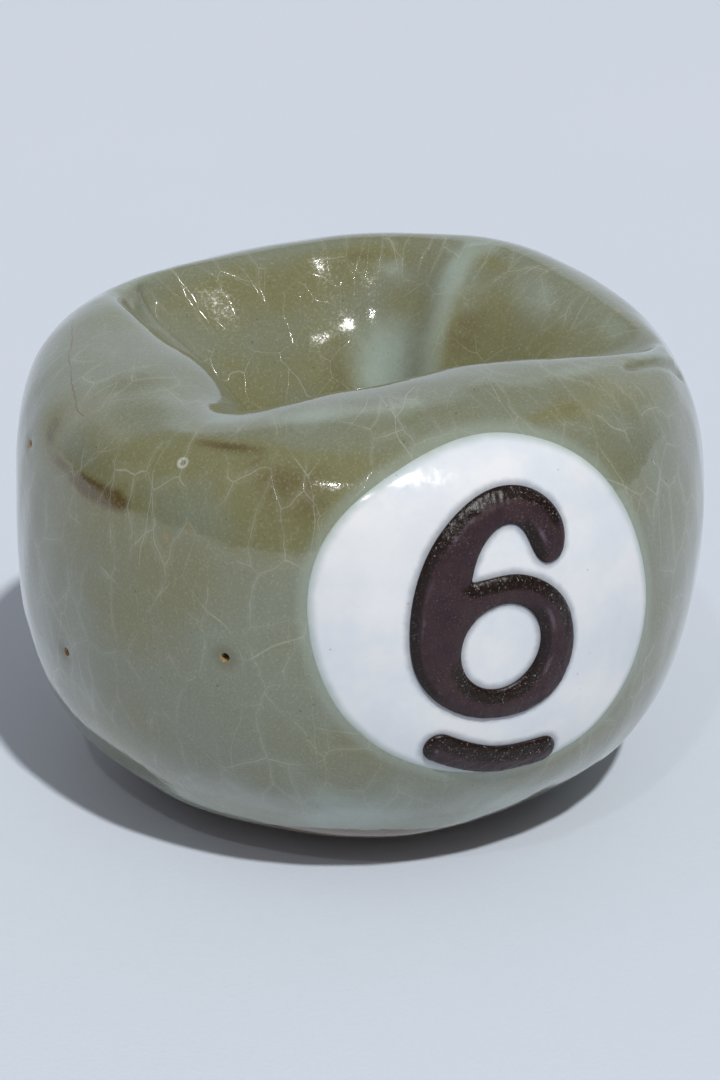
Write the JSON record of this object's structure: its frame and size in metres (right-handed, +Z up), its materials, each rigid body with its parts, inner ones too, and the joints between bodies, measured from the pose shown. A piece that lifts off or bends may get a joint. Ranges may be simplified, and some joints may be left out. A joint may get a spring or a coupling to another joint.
{
  "type": "ceramic pool ball vessel",
  "caption": "Hollow hand-built ceramic ball, squashed into a deep dimple, with a raised six on an inlaid white disc. Stands on a bare clay foot.",
  "frame": {"origin": "middle of the flat foot, on the surface that the ball stands on", "axes": "+Z up, number disc towards -Y, +X to the right of the disc as it is read"},
  "size_m": [0.1085, 0.1092, 0.0789],
  "materials": {
    "bare_clay": "matt unglazed stoneware, layered",
    "body_clay": "matt stoneware under the glaze",
    "green_glaze": "glossy olive celadon glaze with fine crackle, browner where it pools",
    "white_porcelain": "white porcelain slip under clear gloss glaze",
    "dark_slip": "satin dark brown raised slip, rough at its edges"
  },
  "bodies": {
    "root": {"foot_pad": "bare_clay", "lower_shell": "body_clay", "upper_shell": "body_clay", "glaze_coat": "green_glaze", "number_disc": "white_porcelain", "digit_six": "dark_slip", "underline_bar": "dark_slip"}
  },
  "joints": []
}
